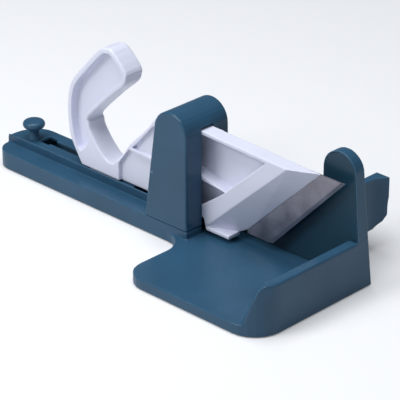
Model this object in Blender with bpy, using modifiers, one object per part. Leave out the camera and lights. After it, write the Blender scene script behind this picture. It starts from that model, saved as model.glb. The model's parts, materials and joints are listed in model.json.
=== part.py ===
"""Sausage guillotine: a push slide with a blade runs along a moulded rail, through a guide arch,
past a sausage rest. Metres, +Z up, X along the rail, Y to the back. The drawing's own zero is the
rail's left end, its front skirt and the base's underside; one empty puts the finished object over
the world origin, centred, standing on its rubber feet."""

import bpy
import bmesh
from math import atan, cos, radians, sin, tan
from mathutils import Matrix

# Clearances
GAP = 0.0003            # between pieces that touch
RUN = 0.0004            # each side of the slide
SCREW_PLAY = 0.0003     # round a screw's shank

# Base: rail
RAIL_REACH = 0.1978     # left end to the arch's foot
RAIL_DEPTH = 0.053      # front skirt to back
RAIL_BACK_RADIUS = 0.025
LEDGE_DEPTH = 0.018
LEDGE_TOP = 0.0163
DECK_TOP = 0.0230
FENCE_THICK = 0.0012
FENCE_TOP = 0.0248
SKIN = 0.0025           # moulded wall

# Base: tray with its right wall
TRAY_WIDTH = 0.1554
TRAY_REACH = 0.0781     # in front of the rail's skirt
TRAY_TOP = 0.0093
TRAY_LEFT_RADIUS = 0.022
TRAY_RIGHT_RADIUS = 0.028
TRAY_INNER_RADIUS = 0.024
WALL_THICK = 0.009
WALL_TOP = 0.046
SWEEP_TURN = radians(36)    # the wall's front end comes down in a slope across the corner
SWEEP_FOOT = -0.0080
SWEEP_HEAD = 0.0072

# Base: back wall and end post
BACK_FRONT = 0.046      # plane of the plate's face
BACK_REAR = 0.0644
BACK_LEFT = 0.0100      # from the arch's foot
BACK_TOP = 0.078
POST_WIDTH = 0.0358
POST_TOP = 0.1225
POST_LEAN = 0.0052      # the right side leans in by this, wall top to shoulder
POST_WAIST = 0.0061     # the back leans in by this, foot to wall top
POST_REAR_LEAN = 0.0018     # and by this from there to the top
POST_FOOT_CORE = 0.030      # height of the hollow in the post's foot
CORE_WALL = 0.003
SOFT_EDGE = 0.0015

# Guide arch
ARCH_FOOT_WIDTH = 0.0543
ARCH_TOP_WIDTH = 0.039
ARCH_LEFT_LEAN = 0.0147
ARCH_TOP = 0.124
ARCH_EDGE = 0.0018
BLADE_PASS_TOP = 0.060      # the passage is wider below this height, for the blade and its screws
ARCH_SCREW_LEFT = 0.0155    # from the arch's left foot
ARCH_SCREW_RIGHT = 0.0125   # from its right foot

# Slide
SLIDE_DEPTH = 0.0146        # thin part
HANDLE_DEPTH = 0.0210       # thick part
SLIDE_BOTTOM = 0.0245
SLIDE_TOP = 0.1070          # at the arch's right foot
SLIDE_FALL = radians(2.15)  # slope of the top flange
FLANGE_THICK = 0.0036
WEB_THICK = 0.003
HOOK_POCKET = 0.008
WEB_POCKET = 0.004
SHOULDER_RIM = 0.002
SHOULDER_DROP = 0.0035      # the handle's top edge rises by this to the flange

# Slide: handle, seen from the front, as distances to the left of the arch's foot and heights
HOOK_LEFT = [(0.0991, SLIDE_BOTTOM), (0.1122, 0.0459), (0.1158, 0.0650), (0.1158, 0.0830), (0.1127, 0.0987),
             (0.1057, 0.1106), (0.0949, 0.1227), (0.0750, 0.1440), (0.0647, 0.1489), (0.0558, 0.1478),
             (0.0403, 0.1334), (0.0397, 0.1260), (0.0436, 0.1181), (0.0604, 0.1033), (0.0886, 0.0754),
             (0.0889, 0.0690), (0.0868, 0.0618), (0.0783, 0.0504), (0.0681, 0.0409), (0.0618, 0.0388),
             (0.0553, 0.0414), (0.0439, 0.0539), (0.0357, 0.0657), (0.0195, 0.0820), (0.0053, 0.0985)]
HOOK_POCKET_SHAPE = [(0.1007, 0.0375), (0.1073, 0.0480), (0.1106, 0.0655), (0.1107, 0.0825),
                     (0.1080, 0.0965), (0.1016, 0.1075), (0.0912, 0.1193), (0.0718, 0.1400),
                     (0.0643, 0.1444), (0.0575, 0.1432), (0.0451, 0.1318), (0.0446, 0.1270),
                     (0.0471, 0.1215), (0.0628, 0.1068), (0.0916, 0.0782), (0.0928, 0.0700),
                     (0.0913, 0.0610), (0.0888, 0.0520)]
BRACE_UNDER = [(0.0503, 0.0420), (0.0486, 0.0444), (0.0382, 0.0587), (0.0281, 0.0675), (0.0063, 0.0920)]
RIB_LEFT = 0.0372
RIB_HEIGHT = 0.0597
RIB_THICK = 0.003
RIB_FALL = radians(4)
ABOVE_RIB_LEFT = 0.0338
ABOVE_RIB_TOP = 0.0985
ABOVE_RIB_CORNER = 0.004

# Slide: windows, tip and plough, as distances to the right of the arch's right foot and heights
WINDOW_LEFT = -0.0358
UPPER_WINDOW_FOOT = 0.0735      # at its left side
UPPER_WINDOW_LOW = [(-0.0004, 0.0646), (0.0272, 0.0577), (0.0281, 0.0591)]
UPPER_WINDOW_RIGHT = 0.0730     # at the flange
LOWER_WINDOW_HEAD = 0.0637      # at its left side
LOWER_WINDOW_FOOT = 0.0300
LOWER_WINDOW_RIGHT = [(-0.0121, LOWER_WINDOW_FOOT), (0.0008, 0.0380), (0.0269, 0.0573), (0.0, 0.0600)]
TIP_LEFT = 0.0032
TIP_LENGTH = 0.0282
TIP_BOTTOM = 0.0138
TIP_THICK = 0.0032
TIP_SLOPE = 0.001
PLOUGH_FOOT = 0.0224            # height at which the plough's back edge starts
PLOUGH_FRONT_EDGE = (0.0962, 0.1032, radians(42.8))     # a point of the edge, and its slope
PLOUGH_BACK_EDGE = (0.1244, 0.1040, radians(44.4))

# Blade
BLADE_THICK = 0.0015
BLADE_SHOWN = 0.0258        # past the plough's back edge, along X
BLADE_HIDDEN = 0.020
BLADE_TOP = 0.1015
BLADE_BOTTOM = 0.0182
BLADE_STEP = 0.003          # the hidden part starts this much higher
BLADE_SPREAD = radians(2.1)
BLADE_SCREW_INSET = 0.0135  # from the plough's back edge
BLADE_SCREW_HEIGHTS = (0.034, 0.061, 0.088)
BEVEL_WIDTH = 0.004
BEVEL_EDGE = 0.0004

# Channel and sausage rest
SAUSAGE_RADIUS = 0.017
REST_ACROSS = 0.0619        # channel axis from the right side
CHANNEL_HEIGHT = 0.0737
NOSE_WALL = 0.0018
REST_LENGTH = 0.0567
REST_SIDE = 0.024
REST_TOP = 0.0703
REST_LOW_SIDE = 0.060       # its left side is lower
REST_BOTTOM = 0.0215
REST_WALL = 0.0025
REST_CORNER_RISE = 0.012    # its back lower edge is round
REST_CORNER_REACH = 0.011
REST_CORNER_MIDDLE = (0.0032, 0.0058)
REST_SCREW_SPACING = 0.025
NOSE_ABOVE = 0.006          # the nose's ends stand above the rest's top before they are trimmed
MOUTH_LENGTH = 0.016
MOUTH_FLARE = 0.0075

# Shear plate
PLATE_THICK = 0.003
PLATE_RIM = 0.0013
PLATE_BOSS_WALL = 0.002
PLATE_BOSS_LENGTH = 0.007

# Slot, shoe and stop peg
SLOT_ACROSS = 0.0359
SLOT_WIDTH = 0.0078
KEYHOLE_LEFT = 0.0315
KEYHOLE_LENGTH = 0.012
KEYHOLE_WIDTH = 0.0134
SHOE_REACH = 0.0713         # from the arch's left foot
NECK_LENGTH = 0.010
PAD_LENGTH = 0.036
SHOE_PLATE_THICK = 0.0015
KEYHOLE_PLAY = 0.0005
PEG_PLACE = (0.0247, 0.0288)
PEG_STEM_RADIUS = 0.00545
PEG_HEAD_RADIUS = 0.0105
PEG_TOP = 0.0430
PEG_HEAD_THICK = 0.0085
PEG_HEAD_ROUND = 0.0040
PEG_NECK_RADIUS = 0.00458
PEG_TAPER = 0.0035          # the stem narrows over this length at both ends
PEG_SHANK_RADIUS = 0.0035
PEG_SHANK_END = 0.0070
PEG_END_BEVEL = 0.001
PEG_BOSS_END = 0.0095
PEG_BOSS_WALL = 0.0025
RING_THICK = 0.0009
RING_HEIGHT = 0.0035        # above the boss's end

# Screws and feet
SCREW_RADIUS = 0.0017
SCREW_HEAD_RADIUS = 0.0032
SCREW_HEAD_THICK = 0.002
SCREW_GRIP = 0.012          # thread inside the held piece
SHOE_SCREW_GRIP = 0.008
BLADE_SCREW_GRIP = 0.0045
SCREW_END_PLAY = 0.001
SINK_DEPTH = 0.0011         # of the blade's countersunk holes
FOOT_RADIUS = 0.006
FOOT_RECESS = 0.002
FOOT_STANDS_OUT = 0.001
FOOT_BOSS_WALL = 0.0012
FOOT_RAIL_LEFT = 0.0118
FOOT_RAIL_RIGHT = 0.0298    # from the arch's left foot
FOOT_RAIL_INSET = 0.0105
FOOT_POST_INSET = 0.0235
FOOT_POST_FRONT = 0.012     # in front of the plate

# Places that follow from the sizes
SCREW_HOLE = SCREW_RADIUS + SCREW_PLAY
ARCH_LEFT = RAIL_REACH
ARCH_RIGHT = ARCH_LEFT + ARCH_FOOT_WIDTH
TRAY_LEFT = ARCH_RIGHT
RIGHT = TRAY_LEFT + TRAY_WIDTH
BACK_END = ARCH_RIGHT + BACK_LEFT
POST_RIGHT = RIGHT - POST_LEAN
POST_LEFT = POST_RIGHT - POST_WIDTH
POST_SHOULDER = POST_TOP - POST_WIDTH / 2
ARCH_SHOULDER = ARCH_TOP - ARCH_TOP_WIDTH / 2
FENCE_BACK = LEDGE_DEPTH + FENCE_THICK
SLIDE_FRONT = FENCE_BACK + RUN
SLIDE_BACK = SLIDE_FRONT + SLIDE_DEPTH
HANDLE_BACK = SLIDE_FRONT + HANDLE_DEPTH
BLADE_FRONT = SLIDE_BACK + GAP
BLADE_BACK = BLADE_FRONT + BLADE_THICK
SHEAR_FACE = BLADE_BACK + RUN
PLOUGH_FRONT = (ARCH_RIGHT + PLOUGH_FRONT_EDGE[0], *PLOUGH_FRONT_EDGE[1:])
PLOUGH_BACK = (ARCH_RIGHT + PLOUGH_BACK_EDGE[0], *PLOUGH_BACK_EDGE[1:])
SHOE_PLACE = ARCH_LEFT - SHOE_REACH
KEYHOLE_MIDDLE = KEYHOLE_LEFT + KEYHOLE_LENGTH / 2
CHANNEL_LEFT = ARCH_RIGHT - (SHOE_PLACE - KEYHOLE_MIDDLE) + RUN
REST_X = RIGHT - REST_ACROSS
REST_FRONT = BACK_REAR + GAP
REST_REAR = REST_FRONT + REST_LENGTH
POST_BACK_LEFT = REST_X + REST_SIDE + GAP
ARCH_SCREWS = [(x, y) for y in (LEDGE_DEPTH / 2, (SHEAR_FACE + RAIL_DEPTH) / 2)
               for x in (ARCH_LEFT + ARCH_SCREW_LEFT, ARCH_RIGHT - ARCH_SCREW_RIGHT)]
REST_SCREWS = [REST_X - REST_SCREW_SPACING / 2, REST_X + REST_SCREW_SPACING / 2]
REST_SCREW_HEIGHT = 0.040
PLATE_BOSS_RADIUS = SCREW_HOLE + PLATE_BOSS_WALL
FEET = [(FOOT_RAIL_LEFT, RAIL_DEPTH / 2),
        (ARCH_LEFT - FOOT_RAIL_RIGHT, FOOT_RAIL_INSET),
        (ARCH_LEFT - FOOT_RAIL_RIGHT, RAIL_DEPTH - FOOT_RAIL_INSET),
        (TRAY_LEFT + TRAY_LEFT_RADIUS, -TRAY_REACH + TRAY_LEFT_RADIUS),
        (RIGHT - TRAY_RIGHT_RADIUS, -TRAY_REACH + TRAY_RIGHT_RADIUS),
        (RIGHT - FOOT_POST_INSET, BACK_FRONT - FOOT_POST_FRONT)]

PAST = 0.002            # how far a cutter runs past a face
SINK = 0.001            # how far a joined piece reaches into its neighbour
SEAM = 0.0001           # step between two joined faces that would lie in one plane
FAR = 0.5

for stale in list(bpy.data.objects):
    bpy.data.objects.remove(stale, do_unlink=True)
parts = bpy.data.collections.new("sausage_guillotine")
cutters = bpy.data.collections.new("cutters")
for group in (parts, cutters):
    bpy.context.scene.collection.children.link(group)


def material(name, colour, roughness, metallic=0.0):
    made = bpy.data.materials.new(name)
    made.use_nodes = True
    shader = made.node_tree.nodes["Principled BSDF"]
    shader.inputs["Base Color"].default_value = (*colour, 1.0)
    shader.inputs["Roughness"].default_value = roughness
    shader.inputs["Metallic"].default_value = metallic
    return made


BLUE = material("teal_plastic", (0.045, 0.108, 0.165), 0.42)
DARK = material("dark_plastic", (0.018, 0.040, 0.062), 0.45)
WHITE = material("white_plastic", (0.80, 0.79, 0.86), 0.38)
STEEL = material("blade_steel", (0.42, 0.39, 0.42), 0.30, 1.0)
ZINC = material("screw_steel", (0.62, 0.62, 0.64), 0.35, 1.0)
RUBBER = material("rubber", (0.02, 0.02, 0.02), 0.85)
ACETAL = material("slippery_plastic", (0.75, 0.75, 0.73), 0.30)


# Outlines

def arc(x, y, radius, start, end, steps=8):
    """Points of an arc, angles in degrees."""
    turns = [radians(start + (end - start) * n / steps) for n in range(steps + 1)]
    return [(x + radius * cos(t), y + radius * sin(t)) for t in turns]


def rounded(corners, steps=6):
    """A polygon whose corners (x, y, radius) are round."""
    points = []
    for n, (x, y, radius) in enumerate(corners):
        before = corners[n - 1]
        after = corners[(n + 1) % len(corners)]
        into = unit(x - before[0], y - before[1])
        out = unit(after[0] - x, after[1] - y)
        if radius <= 0:
            points.append((x, y))
            continue
        side = into[0] * out[1] - into[1] * out[0]
        half = (1 - into[0] * out[0] - into[1] * out[1]) / abs(side)
        reach = radius * half
        turn = 1 if side > 0 else -1
        cx = x - into[0] * reach - turn * into[1] * radius
        cy = y - into[1] * reach + turn * into[0] * radius
        full = 2 * atan(half)
        for step in range(steps + 1):
            angle = turn * full * step / steps
            rx = turn * into[1] * radius
            ry = -turn * into[0] * radius
            points.append((cx + rx * cos(angle) - ry * sin(angle), cy + rx * sin(angle) + ry * cos(angle)))
    return points


def unit(x, y):
    length = (x * x + y * y) ** 0.5
    return x / length, y / length


def smooth(points, steps=3):
    """A closed Catmull-Rom curve through the points."""
    made = []
    count = len(points)
    for n in range(count):
        p0, p1, p2, p3 = (points[(n + k) % count] for k in (-1, 0, 1, 2))
        for step in range(steps):
            t = step / steps
            made.append(tuple(
                0.5 * (2 * b + (c - a) * t + (2 * a - 5 * b + 4 * c - d) * t * t
                       + (3 * b - a - 3 * c + d) * t ** 3)
                for a, b, c, d in zip(p0, p1, p2, p3)))
    return made


def box_outline(left, low, right, high):
    return [(left, low), (right, low), (right, high), (left, high)]


# Solids

TURNS = {
    "Z": Matrix.Identity(4),
    "Y": Matrix(((1, 0, 0, 0), (0, 0, -1, 0), (0, 1, 0, 0), (0, 0, 0, 1))),
    "X": Matrix(((0, 0, 1, 0), (1, 0, 0, 0), (0, 1, 0, 0), (0, 0, 0, 1))),
}
SIDES = {"X": (1, 0, 0), "Y": (0, 1, 0), "Z": (0, 0, 1)}
AXES = {
    "Z": Matrix.Identity(4),
    "Y": Matrix(((1, 0, 0, 0), (0, 0, 1, 0), (0, -1, 0, 0), (0, 0, 0, 1))),
    "-Y": Matrix(((1, 0, 0, 0), (0, 0, -1, 0), (0, 1, 0, 0), (0, 0, 0, 1))),
}


def prism(name, outline, axis, low, high, place=Matrix.Identity(4)):
    """A flat outline drawn across an axis, filled from low to high along it."""
    curve = bpy.data.curves.new(name, "CURVE")
    curve.dimensions = "2D"
    curve.fill_mode = "BOTH"
    curve.extrude = (high - low) / 2
    spline = curve.splines.new("POLY")
    spline.points.add(len(outline) - 1)
    for point, (across, up) in zip(spline.points, outline):
        point.co = (across, up, 0, 1)
    spline.use_cyclic_u = True
    drawn = bpy.data.objects.new(name + "_outline", curve)
    parts.objects.link(drawn)
    middle = [side * (low + high) / 2 for side in SIDES[axis]]
    drawn.matrix_world = place @ Matrix.Translation(middle) @ TURNS[axis]
    bpy.context.view_layer.update()
    seen = drawn.evaluated_get(bpy.context.evaluated_depsgraph_get())
    mesh = bpy.data.meshes.new_from_object(seen)
    work = bmesh.new()
    work.from_mesh(mesh)
    bmesh.ops.remove_doubles(work, verts=work.verts, dist=1e-6)
    bmesh.ops.dissolve_limit(work, angle_limit=radians(0.5), verts=work.verts, edges=work.edges)
    bmesh.ops.recalc_face_normals(work, faces=work.faces)
    work.to_mesh(mesh)
    work.free()
    mesh.name = name
    solid = bpy.data.objects.new(name, mesh)
    solid.matrix_world = drawn.matrix_world
    parts.objects.link(solid)
    bpy.data.objects.remove(drawn)
    bpy.data.curves.remove(curve)
    return solid


def turned(name, profile, place, axis="Z", steps=24):
    """A turned solid: profile points (radius, height) run top to bottom, both ends on the axis."""
    mesh = bpy.data.meshes.new(name)
    points = [(radius, 0, height) for radius, height in profile]
    mesh.from_pydata(points, [(n, n + 1) for n in range(len(points) - 1)], [])
    solid = bpy.data.objects.new(name, mesh)
    parts.objects.link(solid)
    solid.matrix_world = Matrix.Translation(place) @ AXES[axis]
    screw = solid.modifiers.new("turn", "SCREW")
    screw.steps = steps
    screw.render_steps = steps
    screw.use_merge_vertices = True
    screw.merge_threshold = 0.00001
    screw.use_smooth_shade = True
    return solid


def ring(name, inner, outer, low, high, place, steps=24):
    """A turned ring: a closed profile off the axis."""
    mesh = bpy.data.meshes.new(name)
    middle = (low + high) / 2
    points = [(inner, 0, high), (outer - RING_THICK / 3, 0, high), (outer, 0, middle),
              (outer - RING_THICK / 3, 0, low), (inner, 0, low)]
    edges = [(n, (n + 1) % len(points)) for n in range(len(points))]
    mesh.from_pydata(points, edges, [])
    solid = bpy.data.objects.new(name, mesh)
    parts.objects.link(solid)
    solid.location = place
    screw = solid.modifiers.new("turn", "SCREW")
    screw.steps = steps
    screw.render_steps = steps
    screw.use_merge_vertices = True
    screw.merge_threshold = 0.00001
    screw.use_smooth_shade = True
    return solid


def rod(name, radius, low, high, place, axis="Z", steps=24):
    """A cylinder from low to high along its axis."""
    work = bmesh.new()
    middle = Matrix.Translation((0, 0, (low + high) / 2))
    bmesh.ops.create_cone(work, cap_ends=True, segments=steps, radius1=radius, radius2=radius,
                          depth=high - low, matrix=middle)
    mesh = bpy.data.meshes.new(name)
    work.to_mesh(mesh)
    work.free()
    mesh.shade_smooth()
    mesh.set_sharp_from_angle(angle=radians(40))
    solid = bpy.data.objects.new(name, mesh)
    parts.objects.link(solid)
    solid.matrix_world = Matrix.Translation(place) @ AXES[axis]
    return solid


def loft(name, low_ring, high_ring):
    """A solid between two unlike sections with as many points each."""
    work = bmesh.new()
    low = [work.verts.new(point) for point in low_ring]
    high = [work.verts.new(point) for point in high_ring]
    work.faces.new(low)
    work.faces.new(high)
    count = len(low)
    for n in range(count):
        work.faces.new((low[n], low[(n + 1) % count], high[(n + 1) % count], high[n]))
    bmesh.ops.triangulate(work, faces=work.faces)
    bmesh.ops.recalc_face_normals(work, faces=work.faces)
    mesh = bpy.data.meshes.new(name)
    work.to_mesh(mesh)
    work.free()
    solid = bpy.data.objects.new(name, mesh)
    parts.objects.link(solid)
    return solid


def combine(target, tool, operation):
    parts.objects.unlink(tool)
    cutters.objects.link(tool)
    tool.hide_render = True
    tool.display_type = "WIRE"
    step = target.modifiers.new(tool.name, "BOOLEAN")
    step.operation = operation
    step.object = tool
    step.solver = "EXACT"
    return target


def cut(target, tool):
    return combine(target, tool, "DIFFERENCE")


def join(target, tool):
    return combine(target, tool, "UNION")


def soften(solid, width, segments=2):
    edge = solid.modifiers.new("soft_edges", "BEVEL")
    edge.width = width
    edge.segments = segments
    edge.limit_method = "ANGLE"
    edge.angle_limit = radians(40)
    solid.modifiers.new("flat_faces", "TRIANGULATE")
    return solid


# Base

def base_plan(inset=0.0):
    small = SOFT_EDGE * 2
    return rounded([
        (inset, inset, LEDGE_DEPTH - inset),
        (TRAY_LEFT + inset, inset, TRAY_INNER_RADIUS + inset),
        (TRAY_LEFT + inset, -TRAY_REACH + inset, TRAY_LEFT_RADIUS - inset),
        (RIGHT - inset, -TRAY_REACH + inset, TRAY_RIGHT_RADIUS - inset),
        (RIGHT - inset, BACK_REAR - inset, 0),
        (BACK_END + inset, BACK_REAR - inset, 0),
        (BACK_END + inset, RAIL_DEPTH - inset, small + inset),
        (inset, RAIL_DEPTH - inset, RAIL_BACK_RADIUS - inset),
    ])


def rail_plan(front, right, inset=0.0, corner=0.0):
    return rounded([
        (inset, front + inset, max(corner - inset, 0)),
        (right, front + inset, 0),
        (right, RAIL_DEPTH - inset, 0),
        (inset, RAIL_DEPTH - inset, RAIL_BACK_RADIUS - inset),
    ])


def arch_side(height):
    """X of the arch's left and right faces at a height."""
    share = height / ARCH_SHOULDER
    right_lean = ARCH_FOOT_WIDTH - ARCH_TOP_WIDTH - ARCH_LEFT_LEAN
    return ARCH_LEFT + ARCH_LEFT_LEAN * share, ARCH_RIGHT - right_lean * share


def arch_outline(bottom, inset=0.0, top=None):
    left, right = arch_side(bottom)
    middle = ARCH_LEFT + ARCH_LEFT_LEAN + ARCH_TOP_WIDTH / 2
    radius = ARCH_TOP_WIDTH / 2 - inset
    if top is None:
        crown = arc(middle, ARCH_SHOULDER, radius, 0, 180, 14)
    else:
        high_left, high_right = arch_side(top)
        crown = [(high_right - inset, top), (high_left + inset, top)]
    return [(left + inset, bottom), (right - inset, bottom)] + crown


def post_crown(inset):
    """The post's round top, from its right side to its left."""
    return arc(POST_LEFT + POST_WIDTH / 2, POST_SHOULDER, POST_WIDTH / 2 - inset, 0, 180, 14)


def back_outline():
    """Back wall and end post, seen from the front."""
    left = BACK_END + SEAM
    right = RIGHT - SEAM
    bottom = TRAY_TOP - 2 * SINK
    return [(left, bottom), (right, bottom), (right, WALL_TOP)] + post_crown(0) + [
        (POST_LEFT, BACK_TOP), (left, BACK_TOP)]


def back_core_outline():
    """The hollow inside: the wall up to the channel, and the post's foot."""
    left = BACK_END + SEAM + CORE_WALL
    middle = POST_BACK_LEFT - CORE_WALL
    low = -PAST
    clear = SAUSAGE_RADIUS + NOSE_WALL + GAP + CORE_WALL
    under = CHANNEL_HEIGHT - clear
    right = RIGHT - CORE_WALL
    top = BACK_TOP - CORE_WALL
    return [(left, low), (right, low), (right, POST_FOOT_CORE), (middle, POST_FOOT_CORE), (middle, under),
            (REST_X - clear, under), (REST_X - clear, top), (left, top)]


def notch_outline(radius):
    """The U that the rest's nose passes through, open at the top."""
    return arc(REST_X, CHANNEL_HEIGHT, radius, 180, 360, 16) + [
        (REST_X + radius, POST_TOP), (REST_X - radius, POST_TOP)]


def make_base():
    base = prism("base_tray", base_plan(), "Z", 0, WALL_TOP)
    over = WALL_TOP + PAST
    steps = [(-FAR, LEDGE_TOP), (LEDGE_DEPTH, LEDGE_TOP), (LEDGE_DEPTH, FENCE_TOP), (FENCE_BACK, FENCE_TOP),
             (FENCE_BACK, DECK_TOP), (FAR, DECK_TOP), (FAR, over), (-FAR, over)]
    cut(base, prism("over_rail", steps, "X", -PAST, TRAY_LEFT + PAST))
    cut(base, prism("over_tray", tray_floor(), "Z", TRAY_TOP, over))
    cut(base, sweep_cutter())
    back = prism("back_wall", back_outline(), "Y", BACK_FRONT, BACK_REAR - SEAM)
    join(base, back)
    hollow_base(base)
    boss_base(base)
    open_base(base)
    return cut(base, rear_lean("rear_lean", 0))


def rear_lean(name, inset):
    """Takes the post's back, or its core's, off along the face that leans in from the foot to the top."""
    foot = BACK_REAR - inset
    shape = [(foot, -PAST), (foot, 0), (foot - POST_WAIST, WALL_TOP),
             (foot - POST_WAIST - POST_REAR_LEAN, POST_TOP + PAST), (FAR, POST_TOP + PAST), (FAR, -PAST)]
    return prism(name, shape, "X", POST_BACK_LEFT - inset, RIGHT + FAR)


def tray_floor():
    """Plan of all that lies at the tray's level, up to the right wall's inner face."""
    x = RIGHT - TRAY_RIGHT_RADIUS
    y = -TRAY_REACH + TRAY_RIGHT_RADIUS
    inner = arc(x, y, TRAY_RIGHT_RADIUS - WALL_THICK, -90, 0, 6)
    left = TRAY_LEFT - TRAY_INNER_RADIUS
    return ([(left, -FAR), (x, -FAR)] + inner
            + [(RIGHT - WALL_THICK, FAR), (TRAY_LEFT, FAR), (TRAY_LEFT, 0), (left, 0)])


def sweep_cutter():
    """Takes the wall down in a slope across the tray's front right corner."""
    slope = (WALL_TOP - TRAY_TOP) / (SWEEP_HEAD - SWEEP_FOOT)
    head = SWEEP_HEAD - SOFT_EDGE
    shape = [(-FAR / 4, TRAY_TOP), (SWEEP_FOOT, TRAY_TOP), (head, TRAY_TOP + slope * (head - SWEEP_FOOT)),
             (SWEEP_HEAD + 2 * SOFT_EDGE, WALL_TOP), (SWEEP_HEAD + 2 * SOFT_EDGE, WALL_TOP + PAST),
             (-FAR / 4, WALL_TOP + PAST)]
    corner = (RIGHT - TRAY_RIGHT_RADIUS, -TRAY_REACH + TRAY_RIGHT_RADIUS, 0)
    place = Matrix.Translation(corner) @ Matrix.Rotation(SWEEP_TURN, 4, "Z")
    return prism("wall_sweep", shape, "Y", -2 * TRAY_RIGHT_RADIUS, 0, place)


def hollow_base(base):
    """Takes the moulding's underside out to an even skin."""
    end = CHANNEL_LEFT - SKIN
    right = TRAY_LEFT - SKIN
    low = -PAST
    cut(base, prism("hollow_tray", base_plan(SKIN), "Z", low, TRAY_TOP - SKIN))
    cut(base, prism("hollow_rail", rail_plan(0, end, SKIN, LEDGE_DEPTH), "Z", low, LEDGE_TOP - SKIN))
    cut(base, prism("hollow_deck", rail_plan(LEDGE_DEPTH, end, SKIN), "Z", low, DECK_TOP - SKIN))
    ledge = box_outline(end - SINK, SKIN, right, FENCE_BACK - SKIN)
    cut(base, prism("hollow_ledge", ledge, "Z", low, LEDGE_TOP - SKIN))
    strip = box_outline(end - SINK, SHEAR_FACE + SKIN, right, RAIL_DEPTH - SKIN)
    cut(base, prism("hollow_strip", strip, "Z", low, DECK_TOP - SKIN))
    core_front = BACK_FRONT + PLATE_THICK + GAP + CORE_WALL
    core = prism("hollow_back", back_core_outline(), "Y", core_front, BACK_REAR - CORE_WALL)
    cut(core, rear_lean("rear_lean_inside", CORE_WALL - SEAM))
    cut(base, core)


def boss_base(base):
    """Bosses for the feet, the stop peg and the two long screws."""
    for n, (x, y) in enumerate(FEET):
        top = (LEDGE_TOP if y < LEDGE_DEPTH else DECK_TOP) if x < TRAY_LEFT else TRAY_TOP
        radius = FOOT_RADIUS + GAP + FOOT_BOSS_WALL
        join(base, rod(f"foot_boss_{n + 1}", radius, 0, top - SKIN / 2, (x, y, 0)))
    radius = PEG_SHANK_RADIUS + RUN + PEG_BOSS_WALL
    join(base, rod("peg_boss", radius, PEG_BOSS_END, DECK_TOP - SKIN / 2, (*PEG_PLACE, 0)))
    for n, x in enumerate(REST_SCREWS):
        wide = PLATE_BOSS_RADIUS + GAP + CORE_WALL
        join(base, rod(f"screw_boss_{n + 1}", wide, 0, BACK_REAR - BACK_FRONT - PLATE_THICK - GAP - SINK,
                       (x, BACK_FRONT + PLATE_THICK + GAP + SINK / 2, REST_SCREW_HEIGHT), "Y"))


def open_base(base):
    """Slot, keyhole, blade channel, seats, notch, plate pocket and holes."""
    slot_end = SHOE_PLACE + NECK_LENGTH / 2 + RUN + GAP
    slot = box_outline(KEYHOLE_LEFT, SLOT_ACROSS - SLOT_WIDTH / 2, slot_end, SLOT_ACROSS + SLOT_WIDTH / 2)
    cut(base, prism("slot", slot, "Z", DECK_TOP - SKIN - PAST, DECK_TOP + PAST))
    wide = KEYHOLE_WIDTH / 2
    keyhole = rounded([(KEYHOLE_LEFT, SLOT_ACROSS - wide, 0.001),
                       (KEYHOLE_LEFT + KEYHOLE_LENGTH, SLOT_ACROSS - wide, 0.001),
                       (KEYHOLE_LEFT + KEYHOLE_LENGTH, SLOT_ACROSS + wide, 0.001),
                       (KEYHOLE_LEFT, SLOT_ACROSS + wide, 0.001)], 2)
    cut(base, prism("keyhole", keyhole, "Z", DECK_TOP - SKIN - PAST, DECK_TOP + PAST))
    seat = [(arch_side(LEDGE_TOP)[0] - GAP, LEDGE_TOP), (TRAY_LEFT + PAST, LEDGE_TOP),
            (TRAY_LEFT + PAST, FENCE_TOP + PAST), (arch_side(FENCE_TOP + PAST)[0] - GAP, FENCE_TOP + PAST)]
    cut(base, prism("arch_seat", seat, "Y", -PAST, FENCE_BACK + SINK))
    channel = box_outline(CHANNEL_LEFT, FENCE_BACK, TRAY_LEFT + PAST, SHEAR_FACE)
    cut(base, prism("blade_channel", channel, "Z", TRAY_TOP, DECK_TOP + PAST))
    pocket = plate_outline(GAP)
    cut(base, prism("plate_pocket", pocket, "Y", BACK_FRONT - PAST, BACK_FRONT + PLATE_THICK + GAP))
    nose = notch_outline(SAUSAGE_RADIUS + NOSE_WALL + GAP)
    cut(base, prism("nose_notch", nose, "Y", BACK_FRONT - PAST, BACK_REAR + PAST))
    for n, (x, y) in enumerate(FEET):
        cut(base, rod(f"foot_recess_{n + 1}", FOOT_RADIUS + GAP, -PAST, FOOT_RECESS, (x, y, 0)))
    cut(base, rod("peg_hole", PEG_SHANK_RADIUS + RUN, 0, DECK_TOP + PAST, (*PEG_PLACE, 0)))
    for n, (x, y) in enumerate(ARCH_SCREWS):
        top = LEDGE_TOP if y < LEDGE_DEPTH else DECK_TOP
        cut(base, rod(f"arch_hole_{n + 1}", SCREW_HOLE, top - SKIN - PAST, top + PAST, (x, y, 0)))
    for n, x in enumerate(REST_SCREWS):
        place = (x, BACK_FRONT, REST_SCREW_HEIGHT)
        cut(base, rod(f"plate_boss_hole_{n + 1}", PLATE_BOSS_RADIUS + GAP, PLATE_THICK,
                      PLATE_THICK + PLATE_BOSS_LENGTH + GAP, place, "Y"))
        cut(base, rod(f"rest_hole_{n + 1}", SCREW_HOLE, PLATE_THICK + PLATE_BOSS_LENGTH,
                      BACK_REAR - BACK_FRONT + PAST, place, "Y"))


# Shear plate

def plate_outline(grow=0.0):
    """The plate's face: back wall and post, inside a narrow rim on the right and round the top."""
    rim = PLATE_RIM - grow
    foot = TRAY_TOP + GAP - grow
    left = BACK_END - grow
    side = RIGHT - WALL_THICK - GAP + grow
    return ([(left, foot), (side, foot), (side, WALL_TOP - SINK), (RIGHT - rim, WALL_TOP - SINK)]
            + post_crown(rim) + [(POST_LEFT + rim, BACK_TOP - rim), (left, BACK_TOP - rim)])


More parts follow.
